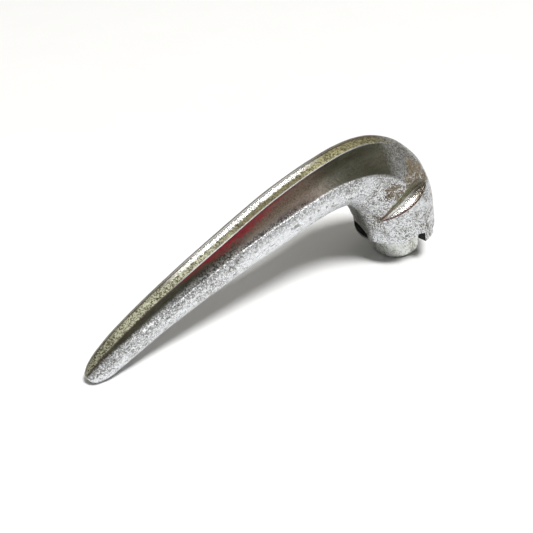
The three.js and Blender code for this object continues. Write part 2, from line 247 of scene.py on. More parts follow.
def lattice_noise(points, scale, seed):
    """Smooth value noise from 0 to 1 at points, with cells of the given size."""
    p = points / scale + 1000.0
    cell = np.floor(p).astype(np.int64)
    f = p - cell
    f = f * f * (3 - 2 * f)
    total = np.zeros(len(points))
    along_x, along_y, along_z = PLACE_PRIMES
    for corner in range(8):
        step = np.array([corner & 1, (corner >> 1) & 1, corner >> 2])
        c = cell + step
        mix = (c[:, 0] * along_x) ^ (c[:, 1] * along_y) ^ (c[:, 2] * along_z) ^ (seed * SEED_PRIME)
        mix = (mix ^ (mix >> 13)) * MIXING_PRIME & 0xFFFFFFFF
        value = ((mix ^ (mix >> 16)) & 0xFFFF) / 65535.0
        weight = np.prod(np.where(step == 1, f, 1 - f), axis=1)
        total += value * weight
    return total


# ---- mesh helpers -----------------------------------------------------------------------


def add_object(name, points, faces):
    mesh = bpy.data.meshes.new(name)
    mesh.from_pydata([tuple(p) for p in points], [], faces)
    mesh.update()
    made = bpy.data.objects.new(name, mesh)
    bpy.context.scene.collection.objects.link(made)
    return made


def loft_faces(rows, around):
    """Quads between neighbouring rings of points, with a cap at each end."""
    here = np.arange(around)
    after = (here + 1) % around
    faces = []
    for s in range(rows - 1):
        a = s * around
        b = a + around
        faces.extend(np.stack([a + here, a + after, b + after, b + here], 1).tolist())
    faces.append(list(range(around))[::-1])
    faces.append([(rows - 1) * around + k for k in range(around)])
    return faces


def prism_faces(n):
    """Sides and ends of a prism whose first and last n points are its two outlines."""
    sides = [[k, (k + 1) % n, n + (k + 1) % n, n + k] for k in range(n)]
    return sides + [list(range(n))[::-1], list(range(n, 2 * n))]


def prism(name, outline, bottom, top):
    """Upright closed prism over a counter-clockwise outline, in millimetres."""
    points = [(x * MM, y * MM, bottom * MM) for x, y in outline]
    points += [(x * MM, y * MM, top * MM) for x, y in outline]
    return add_object(name, points, prism_faces(len(outline)))


def circle(radius, count=96, x=0.0, y=0.0):
    turns = [2 * math.pi * k / count for k in range(count)]
    return [(x + radius * math.cos(a), y + radius * math.sin(a)) for a in turns]


def half_ellipse(half, rise, count=32):
    turns = [math.pi * k / count for k in range(count + 1)]
    return [(half * math.cos(a), rise * math.sin(a)) for a in turns]


def ring_sector(inner, outer, start, end, count=48):
    angles = [math.radians(start + (end - start) * k / count) for k in range(count + 1)]
    out = [(outer * math.cos(a), outer * math.sin(a)) for a in angles]
    back = [(inner * math.cos(a), inner * math.sin(a)) for a in reversed(angles)]
    return out + back


def radial_prism(name, outline, near, far, height, angle=0.0):
    """Closed prism along the radius at an angle, over an outline of [side, height] points."""
    points = [(near * MM, y * MM, (height + z) * MM) for y, z in outline]
    points += [(far * MM, y * MM, (height + z) * MM) for y, z in outline]
    made = add_object(name, points, prism_faces(len(outline)))
    made.data.transform(Matrix.Rotation(math.radians(angle), 4, "Z"))
    return made


def wall_cutter(name, outline, height, angle):
    """Cutter through the skirt's wall, deep enough for its curve."""
    near, far = SKIRT["radius"] - 2 * SKIRT["wall"], SKIRT["radius"] + OVERCUT
    return radial_prism(name, outline, near, far, height, angle)


def arch_cutter():
    foot = SKIRT["rim"] - ARCH["springing"] - OVERCUT
    outline = half_ellipse(ARCH["half"], ARCH["top"] - ARCH["springing"])
    outline += [(-ARCH["half"], foot), (ARCH["half"], foot)]
    return wall_cutter("arch_cutter", outline, ARCH["springing"], ARCH["angle"])


def port_cutter():
    outline = half_ellipse(PORT["half"], PORT["top"] - PORT["bottom"])
    return wall_cutter("port_cutter", outline, PORT["bottom"], PORT["angle"])


def grub_cutter():
    outline = circle(GRUB_HOLE["radius"], 48)
    far = SKIRT["radius"] + 3 * OVERCUT
    return radial_prism("grub_cutter", outline, GRUB_HOLE["inner"], far, GRUB_HOLE["height"])


def lug_block(near_side):
    """Lug inside the rim, a hair within the skirt's face, on the near or the far side."""
    start, end = (360 - LUG["to"], 360 - LUG["from"]) if near_side else (LUG["from"], LUG["to"])
    outline = ring_sector(LUG["inner"], SKIRT["radius"] - 0.01, start, end)
    return prism("lug", outline, LUG["bottom"], LUG["top"])


def boolean(target, others, operation):
    """Joins or subtracts each of the others in turn, then removes them."""
    for other in others:
        modifier = target.modifiers.new("boolean", "BOOLEAN")
        modifier.operation = operation
        modifier.solver = "MANIFOLD"
        modifier.object = other
    graph = bpy.context.evaluated_depsgraph_get()
    result = bpy.data.meshes.new_from_object(target.evaluated_get(graph))
    target.modifiers.clear()
    old = target.data
    target.data = result
    bpy.data.meshes.remove(old)
    for other in others:
        bpy.data.objects.remove(other)


def float_attribute(mesh, name, values):
    layer = mesh.attributes.new(name, "FLOAT", "POINT")
    layer.data.foreach_set("value", np.asarray(values, dtype=np.float32))


def vector_array(items, name):
    """A vector property of every vertex or polygon, one row each."""
    values = np.empty(len(items) * 3)
    items.foreach_get(name, values)
    return values.reshape(-1, 3)


# ---- lever casting --------------------------------------------------------------------------


def casting_masks(grid, domes):
    """Region values on the uncut grid: place across the band, down the flute, in the scoop."""
    shape = grid.shape[:2]
    around = shape[1]
    half = FACET_STEPS + LAND_STEPS + FLUTE_STEPS + BELLY_STEPS + 1
    column = np.arange(around)
    step = np.where(column < half, column, around - column)
    across = np.clip(step / FACET_STEPS, 0, 2)
    middle = FACET_STEPS + LAND_STEPS / 2
    band = 1 - smooth(middle - 0.8, middle + 0.8, step)
    land = 1 - smooth(0.25, 0.6, np.abs(step - middle) / LAND_STEPS)
    down = (step - FACET_STEPS - LAND_STEPS) / FLUTE_STEPS
    in_flute = smooth(-0.08, 0.0, down) * (1 - smooth(0.9, 1.03, down))
    on_arm = (1 - smooth(0.45, 0.95, domes))[:, None]
    masks = {
        "band": band * on_arm,
        "land": land * on_arm,
        "across": np.broadcast_to(across, shape),
        "flute": in_flute * on_arm,
        "down": np.broadcast_to(np.clip(down, -0.2, 2.0), shape),
    }
    share, up = scoop_place(grid.reshape(-1, 3))
    masks["leaf"] = (share * smooth(-0.06, 0.0, up) * (1 - smooth(0.9, 1.1, up))).reshape(shape)
    masks["leaf_up"] = np.clip(up, -1, 2).reshape(shape)
    return {key: np.array(value, dtype=float).reshape(-1) for key, value in masks.items()}


def cut_hub(casting):
    """Opens the hub from below, cuts its bores, arch and window and adds the lugs."""
    cavity = SKIRT["radius"] - SKIRT["wall"]
    below = -2 * OVERCUT
    bore_start = SKIRT["roof"] - OVERCUT
    start, end = SKIRT["raised_from"], 360 - SKIRT["raised_from"]
    relief = ring_sector(cavity - OVERCUT, SKIRT["radius"] + 3 * OVERCUT, start, end)
    dowel = circle(DOWEL_HOLE["radius"], 24, -DOWEL_HOLE["pitch"])
    boolean(casting, [
        prism("cavity", circle(cavity, 128), below, SKIRT["roof"]),
        prism("groove", circle(GROOVE["radius"], 128), GROOVE["bottom"], GROOVE["top"]),
        prism("bore", circle(SLEEVE["radius"], 64), bore_start, SLEEVE["top"]),
        prism("dowel", dowel, bore_start, DOWEL_HOLE["top"]),
        prism("relief", relief, below, SKIRT["raised_rim"]),
        arch_cutter(),
        port_cutter(),
        grub_cutter(),
    ], "DIFFERENCE")
    boolean(casting, [lug_block(False), lug_block(True)], "UNION")


def nearest_on_grid(flat, points):
    """For each point, the nearest one of the uncut grid and how far off it is."""
    tree = kdtree.KDTree(len(flat))
    for k, p in enumerate(flat):
        tree.insert(p, k)
    tree.balance()
    found = [tree.find(p) for p in points]
    return np.array([f[1] for f in found]), np.array([f[2] for f in found])


def make_casting():
    grid, domes = casting_grid()
    masks = casting_masks(grid, domes)
    flat = grid.reshape(-1, 3)
    casting = add_object("casting_skin", flat * MM, loft_faces(*grid.shape[:2]))
    cut_hub(casting)
    mesh = casting.data
    points = vector_array(mesh.vertices, "co") / MM
    nearest, away = nearest_on_grid(flat, points)
    # Faces off the uncut skin, inside the hub and on its cuts, which the material paints near-black as
    # shade.
    rim_margin = 0.3
    below_rim = points[:, 2] < SKIRT["rim"] + rim_margin
    from_wall = np.abs(np.hypot(points[:, 0], points[:, 1]) - SKIRT["radius"])
    inner = smooth(0.05, 0.35, np.where(below_rim, from_wall, away))
    mark_painted_shade(mesh)
    for key, values in masks.items():
        float_attribute(mesh, key, values[nearest])
    float_attribute(mesh, "inner", inner)
    roughen(casting, points, masks["band"][nearest], masks["flute"][nearest], inner)
    shade_smooth(casting, 40)
    casting.data.materials.clear()
    casting.data.materials.append(worn_plating())
    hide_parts("lever_casting")
    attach(casting, "lever")
    return casting


def mark_painted_shade(mesh):
    """Marks the lugs' side faces and the window's cut faces, which the material paints near-black as shade.
    """
    centres = vector_array(mesh.polygons, "center") / MM
    normals = vector_array(mesh.polygons, "normal")
    x, y, z = centres.T
    out = np.hypot(x, y)
    radial = (x * normals[:, 0] + y * normals[:, 1]) / out
    upright_side = (np.abs(radial) < 0.3) & (np.abs(normals[:, 2]) < 0.5)
    clear_of_window = x > -4
    lug_face = upright_side & (z < LUG["top"]) & (out > LUG["inner"]) & clear_of_window
    turn = (np.degrees(np.arctan2(y, x)) - PORT["angle"] + 180) % 360 - 180
    window_half_turn, slack, skin = 24, 0.1, 0.15
    window = (np.abs(turn) < window_half_turn) & (out < SKIRT["radius"] - skin)
    window &= (z > PORT["bottom"] - slack) & (z < PORT["top"] + slack)
    # Painted shade: these faces are coloured near-black for the shade in the arch and the window.
    layer = mesh.attributes.new("painted_shade", "FLOAT", "FACE")
    layer.data.foreach_set("value", (lug_face | window).astype(np.float32))


def roughen(thing, points, band, flute, inner):
    """Waves, lumps and pits in the skin itself, fainter in the flute and on the band."""
    mesh = thing.data
    normals = vector_array(mesh.vertices, "normal")
    waves = lattice_noise(points, WAVES["cell"], 1) - 0.5
    lumps = lattice_noise(points, LUMPS["cell"], 2) - 0.5
    pits = smooth(0.70, 0.86, lattice_noise(points, PITS["cell"], 3))
    patches = smooth(0.35, 0.65, lattice_noise(points, PITS["patch_cell"], 4))
    rough = (1 - 0.75 * flute) * (1 - 0.6 * band) * (1 - inner)
    offset = waves * WAVES["height"] + lumps * LUMPS["height"] - pits * patches * PITS["depth"]
    moved = points + normals * (offset * rough)[:, None]
    mesh.vertices.foreach_set("co", (moved * MM).reshape(-1))
    mesh.update()
    float_attribute(mesh, "pit", pits * patches * rough)


def shade_smooth(thing, degrees):
    mesh = thing.data
    mesh.polygons.foreach_set("use_smooth", [True] * len(mesh.polygons))
    mesh.set_sharp_from_angle(angle=math.radians(degrees))


# ---- materials -----------------------------------------------------------------------------


class Nodes:
    """Small writer of shader nodes for one material."""

    def __init__(self, name):
        self.material = bpy.data.materials.new(name)
        self.material.use_nodes = True
        self.tree = self.material.node_tree
        self.tree.nodes.clear()
        self.output = self.tree.nodes.new("ShaderNodeOutputMaterial")
        self.shader = self.tree.nodes.new("ShaderNodeBsdfPrincipled")
        self.link(self.shader.outputs[0], self.output.inputs[0])
        self.place = self.tree.nodes.new("ShaderNodeTexCoord").outputs["Object"]

    def link(self, source, target):
        self.tree.links.new(source, target)

    def set(self, node, socket, value):
        if hasattr(value, "is_output"):
            self.link(value, node.inputs[socket])
        else:
            node.inputs[socket].default_value = value

    def attribute(self, name):
        node = self.tree.nodes.new("ShaderNodeAttribute")
        node.attribute_name = name
        return node.outputs["Fac"]

    def noise(self, scale, detail, roughness, stretch=None):
        node = self.tree.nodes.new("ShaderNodeTexNoise")
        node.inputs["Scale"].default_value = scale
        node.inputs["Detail"].default_value = detail
        node.inputs["Roughness"].default_value = roughness
        self.link(self.stretched(stretch), node.inputs["Vector"])
        return node.outputs["Fac"]

    def stretched(self, stretch):
        if stretch is None:
            return self.place
        node = self.tree.nodes.new("ShaderNodeMapping")
        node.inputs["Scale"].default_value = stretch
        self.link(self.place, node.inputs["Vector"])
        return node.outputs["Vector"]

    def math(self, operation, a, b=0.0, third=0.0, clamp=False):
        node = self.tree.nodes.new("ShaderNodeMath")
        node.operation = operation
        node.use_clamp = clamp
        self.set(node, 0, a)
        self.set(node, 1, b)
        self.set(node, 2, third)
        return node.outputs[0]

    def less(self, value, amount):
        return self.math("SUBTRACT", value, amount)

    def times(self, *values):
        product = values[0]
        for value in values[1:]:
            product = self.math("MULTIPLY", product, value, clamp=True)
        return product

    def sum(self, *weighted):
        total = 0.0
        for value, weight in weighted:
            total = self.math("MULTIPLY_ADD", value, weight, third=total)
        return total

    def largest(self, values):
        top = values[0]
        for value in values[1:]:
            top = self.math("MAXIMUM", top, value)
        return top

    def span(self, value, low, high, start=0.0, end=1.0):
        """From start to end as the value goes from low to high, which may be the smaller."""
        node = self.tree.nodes.new("ShaderNodeMapRange")
        node.interpolation_type = "SMOOTHSTEP"
        self.set(node, "Value", value)
        rising = low < high
        node.inputs["From Min"].default_value = low if rising else high
        node.inputs["From Max"].default_value = high if rising else low
        node.inputs["To Min"].default_value = start if rising else end
        node.inputs["To Max"].default_value = end if rising else start
        return node.outputs[0]

    def mix(self, factor, a, b):
        """Colour a where the factor is zero and b where it is one."""
        node = self.tree.nodes.new("ShaderNodeMix")
        node.data_type = "RGBA"
        self.set(node, 0, factor)
        self.set(node, 6, a)
        self.set(node, 7, b)
        return node.outputs[2]

    def blend(self, factor, a, b):
        """The same for a plain value."""
        node = self.tree.nodes.new("ShaderNodeMix")
        node.data_type = "FLOAT"
        self.set(node, 0, factor)
        self.set(node, 2, a)
        self.set(node, 3, b)
        return node.outputs[0]

    def axis(self, letter):
        node = self.tree.nodes.new("ShaderNodeSeparateXYZ")
        self.link(self.place, node.inputs[0])
        return node.outputs[letter]

    def bump(self, height, strength, distance):
        node = self.tree.nodes.new("ShaderNodeBump")
        self.set(node, "Strength", strength)
        node.inputs["Distance"].default_value = distance
        self.link(height, node.inputs["Height"])
        self.link(node.outputs["Normal"], self.shader.inputs["Normal"])

    def finish(self, color, roughness, metallic):
        self.set(self.shader, "Base Color", color)
        self.set(self.shader, "Roughness", roughness)
        self.set(self.shader, "Metallic", metallic)
        return self.material


def rgb(red, green, blue):
    return (red, green, blue, 1.0)


class CastingNodes(Nodes):
    """Nodes of the casting's material, with its regions, its places and its grain."""

    def __init__(self, name):
        super().__init__(name)
        self.across, self.band = self.attribute("across"), self.attribute("band")
        self.land, self.pit = self.attribute("land"), self.attribute("pit")
        self.flute, self.down = self.attribute("flute"), self.attribute("down")
        self.leaf, self.leaf_up = self.attribute("leaf"), self.attribute("leaf_up")
        self.inner, self.painted_shade = self.attribute("inner"), self.attribute("painted_shade")
        self.x, self.y, self.z = self.axis("X"), self.axis("Y"), self.axis("Z")
        self.grit = self.noise(2600, 3, 0.7)
        self.fine = self.noise(1300, 4, 0.7)
        self.coarse = self.noise(380, 4, 0.65)
        self.broad = self.noise(130, 3, 0.6)
        self.streak = self.noise(800, 4, 0.65, stretch=(0.25, 1.0, 1.0))
        self.mottle = self.sum((self.grit, 0.5), (self.fine, 0.35), (self.coarse, 0.15))
        self.speckle = self.sum((self.grit, 0.5), (self.fine, 0.5))

    def along(self, low, high, start=0.0, end=1.0):
        """Span between two places along the arm, in metres from the hub's axis."""
        return self.span(self.x, low, high, start, end)

    def over(self, mask, strength, under, color):
        """The colour laid over another where the mask says, at most at the given strength."""
        return self.mix(self.times(mask, strength), under, color)

    def round_hub(self, turn, height, reach):
        """One at an angle from the arm and a height, on both sides, falling to nothing at its reach."""
        angle = self.math("ARCTAN2", self.math("ABSOLUTE", self.y), self.math("MULTIPLY", self.x, -1.0))
        along = self.math("MULTIPLY", self.less(angle, math.radians(turn)), SKIRT["radius"] * MM)
        above = self.less(self.z, height * MM)
        squares = self.math("ADD", self.math("MULTIPLY", along, along), self.math("MULTIPLY", above, above))
        return self.span(self.math("SQRT", squares), reach * MM, reach * MM * 0.3)


def chalky_body(n):
    """Chalky plating with bare patches, dark specks and pits; also the mask of the specks."""
    hubward = n.along(-0.030, -0.012)
    calm = n.times(n.along(-0.019, -0.027), n.along(-0.064, -0.050))
    loud = n.less(1.0, n.times(calm, 0.72))
    chalk = n.mix(hubward, rgb(0.86, 0.88, 0.91), rgb(0.74, 0.76, 0.79))
    body = n.mix(n.times(n.span(n.mottle, 0.44, 0.60), loud), chalk, rgb(0.46, 0.47, 0.47))

    patches = n.sum((n.grit, 0.35), (n.fine, 0.35), (n.coarse, 0.2), (n.broad, 0.1))
    on_arm = n.along(-0.100, -0.070, 0.22, 0.35)
    on_hub = n.span(n.broad, 0.42, 0.58, 0.35, 1.0)
    worn = n.times(n.span(patches, 0.49, 0.56), loud, n.blend(hubward, on_arm, on_hub))
    bare_metal = n.mix(n.span(n.grit, 0.4, 0.6), rgb(0.28, 0.262, 0.20), rgb(0.125, 0.112, 0.078))
    body = n.mix(worn, body, bare_metal)

    specks = n.times(n.span(n.noise(2100, 2, 0.5), 0.58, 0.66), n.span(n.coarse, 0.36, 0.54))
    body = n.over(n.times(specks, loud), 0.8, body, rgb(0.08, 0.07, 0.06))
    return n.over(n.pit, 0.7, body, rgb(0.12, 0.105, 0.09)), specks


def soiled_and_shaded_body(n, body):
    """Soot beside the flute, painted shade under the arm and brown on the crown; also the mask of the
    painted shade.
    """
    sooty_grain = n.span(n.sum((n.grit, 0.6), (n.fine, 0.4)), 0.38, 0.54)
    sooty = n.times(n.span(n.down, 1.32, 1.0), n.along(-0.010, -0.026), sooty_grain)
    body = n.over(sooty, 0.7, body, rgb(0.13, 0.128, 0.12))

    # Painted shade: the hub's side below the arm, which the key light does not reach, is coloured dark.
    middle = n.times(n.span(n.y, -0.0034, -0.0016), n.span(n.y, 0.0085, 0.0060))
    painted_shade_below_arm = n.times(middle, n.along(-0.005, -0.010), n.along(-0.022, -0.017), n.span(n.z, 0.030, 0.022))
    grey = n.mix(n.fine, rgb(0.12, 0.12, 0.105), rgb(0.07, 0.07, 0.06))
    body = n.over(painted_shade_below_arm, 0.85, body, grey)

    crown_grain = n.span(n.sum((n.grit, 0.4), (n.fine, 0.4), (n.broad, 0.2)), 0.40, 0.54)
    crown = n.times(n.span(n.z, 0.0285, 0.0345), n.along(-0.016, -0.008), crown_grain)
    brown = n.mix(n.grit, rgb(0.24, 0.22, 0.175), rgb(0.13, 0.11, 0.08))
    return n.over(crown, 0.7, body, brown), painted_shade_below_arm


def hub_stains(n):
    """Mask of the brown and gold stains on the hub."""
    places = n.largest([n.round_hub(*place) for place in STAINS])
    return n.span(n.sum((places, 0.30), (n.grit, 0.5), (n.fine, 0.6), (n.coarse, 0.5)), 0.96, 1.06)


def painted_red_reflection(n):
    """Mask of the red streak under the band, a painted reflection of something red, deepest in the middle
    of the arm.
    """
    reach = n.times(n.along(-0.090, -0.056, 0.12, 0.80), n.along(-0.030, -0.052, 0.60, 1.0))
    red_extent = n.less(n.times(reach, 0.95), n.sum((n.down, 1.0), (n.streak, 0.7), (n.grit, 0.5)))
    return n.times(n.along(-0.094, -0.080), n.along(-0.020, -0.058), n.span(red_extent, -0.40, 0.0))


def crest_soot(n):
    """Mask of the soot in the lower flute, which climbs higher toward the tip."""
    low_down = n.span(n.down, 0.55, 0.9)
    tipward = n.times(n.span(n.down, 0.25, 0.5), n.along(-0.046, -0.062))
    grain = n.span(n.sum((n.grit, 0.4), (n.fine, 0.4), (n.coarse, 0.2)), 0.45, 0.53)
    return n.times(n.largest([low_down, tipward]), n.along(-0.092, -0.070), n.along(-0.026, -0.036), grain)


def painted_dark_flute(n, body, soot):
    """Flute coloured near-black as a painted reflection of the dark surroundings, with its red streak and
    soot, worn like the body at the tip.
    """
    # Painted reflection: these near-black colours stand in for the dark surroundings mirrored in the flute.
    streaky = n.sum((n.streak, 0.5), (n.grit, 0.5))
    hollow = n.mix(n.span(streaky, 0.40, 0.60), rgb(0.030, 0.028, 0.017), rgb(0.052, 0.050, 0.033))
    hub_end = n.mix(n.span(n.mottle, 0.44, 0.58), rgb(0.12, 0.116, 0.092), rgb(0.045, 0.042, 0.030))
    hollow = n.over(n.along(-0.014, -0.002), 0.7, hollow, hub_end)

    ruddy = n.times(n.along(-0.072, -0.050), n.along(-0.022, -0.034))
    ruddy_tone = n.mix(n.span(n.grit, 0.35, 0.65), rgb(0.085, 0.055, 0.042), rgb(0.15, 0.12, 0.09))
    hollow = n.over(ruddy, 0.9, hollow, ruddy_tone)
    # Painted reflection: a red streak along the flute's upper edge.
    red = n.mix(n.span(n.speckle, 0.47, 0.60), rgb(0.23, 0.008, 0.020), rgb(0.045, 0.010, 0.013))
    hollow = n.over(painted_red_reflection(n), 0.92, hollow, red)

    bare = n.times(n.span(n.down, 0.55, 0.95), n.along(-0.034, -0.046))
    silver = n.mix(n.fine, rgb(0.30, 0.30, 0.31), rgb(0.12, 0.12, 0.115))
    hollow = n.over(bare, 0.45, hollow, silver)
    hollow = n.over(soot, 0.92, hollow, rgb(0.016, 0.016, 0.017))
    tip_end = n.span(n.sum((n.x, 1.0), (n.fine, 0.02), (n.down, -0.030)), -0.092, -0.108)
    return n.mix(tip_end, hollow, n.mix(0.25, body, rgb(0.10, 0.10, 0.095)))


def rubbed_and_highlit_ridge(n):
    """Mask of the band's ridge where it is rubbed bright, which also stands in for a painted highlight."""
    middle = n.times(n.along(-0.082, -0.062), n.along(-0.022, -0.038))
    return n.times(middle, n.span(n.sum((n.across, 1.0), (n.fine, 0.5)), 0.84, 0.54))


def gilt_band(n, rub_and_highlight):
    """Top band: rubbed bright along the ridge, partly a painted highlight, olive tarnish below it and at
    both ends, and painted shade on the far facet.
    """
    middle = n.times(n.along(-0.066, -0.050), n.along(-0.020, -0.034))
    olive = n.mix(middle, rgb(0.34, 0.345, 0.245), rgb(0.115, 0.104, 0.045))
    olive = n.mix(n.along(-0.036, -0.022), olive, rgb(0.29, 0.265, 0.125))
    tarnish = n.mix(n.span(n.mottle, 0.43, 0.57), olive, rgb(0.085, 0.080, 0.045))
    tarnish = n.over(n.span(n.speckle, 0.51, 0.59), 0.85, tarnish, rgb(0.050, 0.038, 0.018))
    # Partly painted highlight: the rubbed ridge is near-white where the key light's highlight falls.
    gilt = n.mix(rub_and_highlight, tarnish, rgb(0.88, 0.87, 0.82))

    ends = n.largest([n.along(-0.060, -0.078), n.along(-0.034, -0.022)])
    ridge = n.times(n.span(n.across, 0.16, 0.04), n.blend(ends, 0.5, 0.9))
    gilt = n.mix(ridge, gilt, rgb(0.060, 0.036, 0.024))
    # Painted shade: the band's far facet is coloured darker than the near one.
    far_facet_shade = n.mix(n.fine, rgb(0.11, 0.095, 0.08), rgb(0.045, 0.038, 0.032))
    gilt = n.over(n.span(n.y, 0.0003, 0.0010), 0.75, gilt, far_facet_shade)

    crest_grain = n.span(n.sum((n.fine, 0.6), (n.across, -0.25)), 0.14, 0.30)
    crest_tone = n.mix(n.grit, rgb(0.10, 0.065, 0.03), rgb(0.04, 0.028, 0.016))
    return n.over(n.times(n.along(-0.020, -0.010), crest_grain), 0.85, gilt, crest_tone)


def bright_scoop(n):
    """Bright scoop with a brown upper side, its lower lip and rear end painted dark as shade, and a darker
    front end.
    """
    upward = n.span(n.sum((n.leaf_up, 1.0), (n.fine, 0.3)), 0.38, 0.72)
    cove = n.mix(upward, rgb(0.95, 0.94, 0.90), rgb(0.13, 0.125, 0.060))
    # Painted shade along the scoop's lower lip.
    lip = n.times(n.span(n.leaf_up, 0.10, 0.03), n.span(n.leaf, 0.02, 0.2))
    cove = n.over(lip, 0.9, cove, rgb(0.09, 0.03, 0.02))
    # Painted shade on the scoop's rear end, which faces away from the key light.
    rear = n.mix(n.fine, rgb(0.20, 0.17, 0.11), rgb(0.06, 0.05, 0.04))
    cove = n.over(n.along(-0.004, 0.001), 0.9, cove, rear)
    front = n.mix(n.fine, rgb(0.22, 0.11, 0.08), rgb(0.09, 0.03, 0.025))
    return n.over(n.along(-0.0080, -0.0105), 0.7, cove, front)


def worn_plating():
    """The casting's one material, put together from its regions, with painted shade, highlights and
    reflections among them.
    """
    n = CastingNodes("worn_plating")
    body, specks = chalky_body(n)
    body, painted_shade_below_arm = soiled_and_shaded_body(n, body)
    stain, soot, rub_and_highlight = hub_stains(n), crest_soot(n), rubbed_and_highlit_ridge(n)
    stained = n.mix(n.span(n.grit, 0.4, 0.6), rgb(0.21, 0.145, 0.055), rgb(0.045, 0.032, 0.016))
    body = n.over(stain, 0.85, body, stained)

    fading = n.times(n.along(-0.062, -0.092), n.span(n.down, 0.35, 1.0), 0.75)
    fluted = n.times(n.flute, n.less(1.0, fading))
    color = n.mix(fluted, body, painted_dark_flute(n, body, soot))
    color = n.mix(n.band, color, gilt_band(n, rub_and_highlight))

    # Painted highlight: a near-white line along the band's rounded edge on the near side only.
    near_side = n.span(n.y, 0.0002, -0.0002)
    edge = n.times(n.land, near_side, n.along(-0.084, -0.066), n.along(-0.004, -0.030, 0.0, 0.9))
    color = n.mix(edge, color, rgb(0.90, 0.90, 0.88))
    # Painted shade on the far side's edge, with rust at the tip end; both are coloured dark.
    rust_and_far_shade = n.largest([n.along(-0.068, -0.082), n.span(near_side, 1.0, 0.0)])
    color = n.over(n.times(n.land, rust_and_far_shade), 0.85, color, rgb(0.045, 0.022, 0.016))
    in_cove = n.span(n.leaf, 0.03, 0.25)
    color = n.mix(in_cove, color, bright_scoop(n))
    # Painted shade: the lugs, the window's cut faces and the faces inside the hub are coloured near-black,
    # dull and not metallic, for the shade in the hollow.
    painted_shade_inside = n.largest([n.inner, n.painted_shade])
    color = n.mix(painted_shade_inside, color, rgb(0.006, 0.0055, 0.005))

    rough = n.blend(n.span(n.mottle, 0.42, 0.60), 0.24, 0.46)
    rough = n.blend(n.flute, rough, n.blend(fluted, 0.6, 0.36))
    rough = n.blend(n.band, rough, n.blend(rub_and_highlight, 0.42, 0.20))
    rough = n.blend(stain, rough, 0.75)
    rough = n.blend(in_cove, rough, 0.26)
    rough = n.blend(painted_shade_inside, rough, 0.85)
    metal = n.blend(n.flute, n.blend(specks, 0.85, 0.2), n.blend(soot, 0.15, 0.0))
    metal = n.blend(stain, metal, 0.1)
    metal = n.blend(n.band, metal, n.blend(rub_and_highlight, 0.6, 1.0))
    metal = n.blend(edge, metal, 0.2)
    metal = n.blend(in_cove, metal, 0.9)
    metal = n.blend(painted_shade_inside, metal, 0.0)

    relief = n.less(n.speckle, n.times(specks, 0.5))
    n.bump(relief, n.blend(n.largest([fluted, painted_shade_below_arm]), 0.5, 0.12), 0.0004)
    n.set(n.shader, "Specular IOR Level", n.blend(n.flute, 0.5, n.blend(soot, 0.18, 0.04)))
    return n.finish(color, rough, metal)


def plated(name, light, dark, scale, roughness, metallic):
    """Plain metal or plastic with a mottled colour and roughness and a fine grain."""
    n = Nodes(name)
    grain = n.noise(scale, 4, 0.65)
    spots = n.noise(scale * 0.3, 3, 0.6)
    patchy = n.math("ADD", n.math("MULTIPLY", grain, 0.6), n.math("MULTIPLY", spots, 0.4))
    share = n.span(patchy, 0.38, 0.64)
    color = n.mix(share, light, dark)
    rough = n.blend(share, roughness - 0.08, roughness + 0.12)
    n.bump(grain, 0.25, 0.0002)
    return n.finish(color, rough, metallic)


def pale_ring():
    """Paler, smoother worn plating of the neck ring."""
    n = Nodes("pale_plating")
    grit = n.noise(2400, 3, 0.7)
    coarse = n.noise(520, 4, 0.65)
    share = n.span(n.sum((grit, 0.5), (coarse, 0.5)), 0.44, 0.58)
    color = n.mix(share, rgb(0.86, 0.88, 0.86), rgb(0.46, 0.47, 0.40))
    specks = n.times(n.span(n.noise(1800, 2, 0.5), 0.58, 0.68), n.span(coarse, 0.42, 0.56))
    color = n.mix(n.times(specks, 0.7), color, rgb(0.16, 0.16, 0.12))
    n.bump(grit, 0.3, 0.0003)
    return n.finish(color, n.blend(share, 0.38, 0.55), 0.7)


# Light and dark colour, grain scale, roughness and metalness of the plain finishes.
PLAIN_FINISHES = {
    "zinc_steel": (rgb(0.66, 0.65, 0.60), rgb(0.44, 0.42, 0.36), 900, 0.42, 1.0),
    "spring_steel": (rgb(0.05, 0.04, 0.03), rgb(0.015, 0.013, 0.012), 1100, 0.5, 0.5),
    "bronze": (rgb(0.62, 0.42, 0.20), rgb(0.38, 0.24, 0.10), 1400, 0.42, 1.0),
    "polymer": (rgb(0.80, 0.77, 0.68), rgb(0.66, 0.62, 0.52), 700, 0.55, 0.0),
    "dark_steel": (rgb(0.16, 0.16, 0.17), rgb(0.06, 0.06, 0.065), 1000, 0.45, 1.0),
}


def dress_cad_pieces():
    """Gives each CAD piece that stays the finish of its slot in the record."""
    finishes = {name: plated(name, *values) for name, values in PLAIN_FINISHES.items()}
    finishes["pale_plating"] = pale_ring()
    for part in frame["record"]["subparts"]:
        node = frame["nodes"][part["node"]]
        finish = finishes.get(part["material_slot"])
        if finish is None:
            continue
        if not node.data.materials:
            node.data.materials.append(finish)
        for k in range(len(node.material_slots)):
            node.material_slots[k].material = finish


# ---- stage ------------------------------------------------------------------------------------------

# Under the middle of the arm, in metres, lies the middle of the floor, and the lamp aims
# just above it. The camera's distance is in metres too and its target in millimetres.
ARM_MIDDLE = -0.05
FLOOR_HALF = 1.2
KEY_LAMP = {"from": (-0.05, -0.43, 0.9), "aim_height": 0.01, "distance": 3.0, "size": 0.8, "energy": 94.0}
CAMERA = {"azimuth": 38.5, "elevation": 32, "distance": 0.2914, "view": 28, "target_mm": (-50.3, 0, 11.5)}

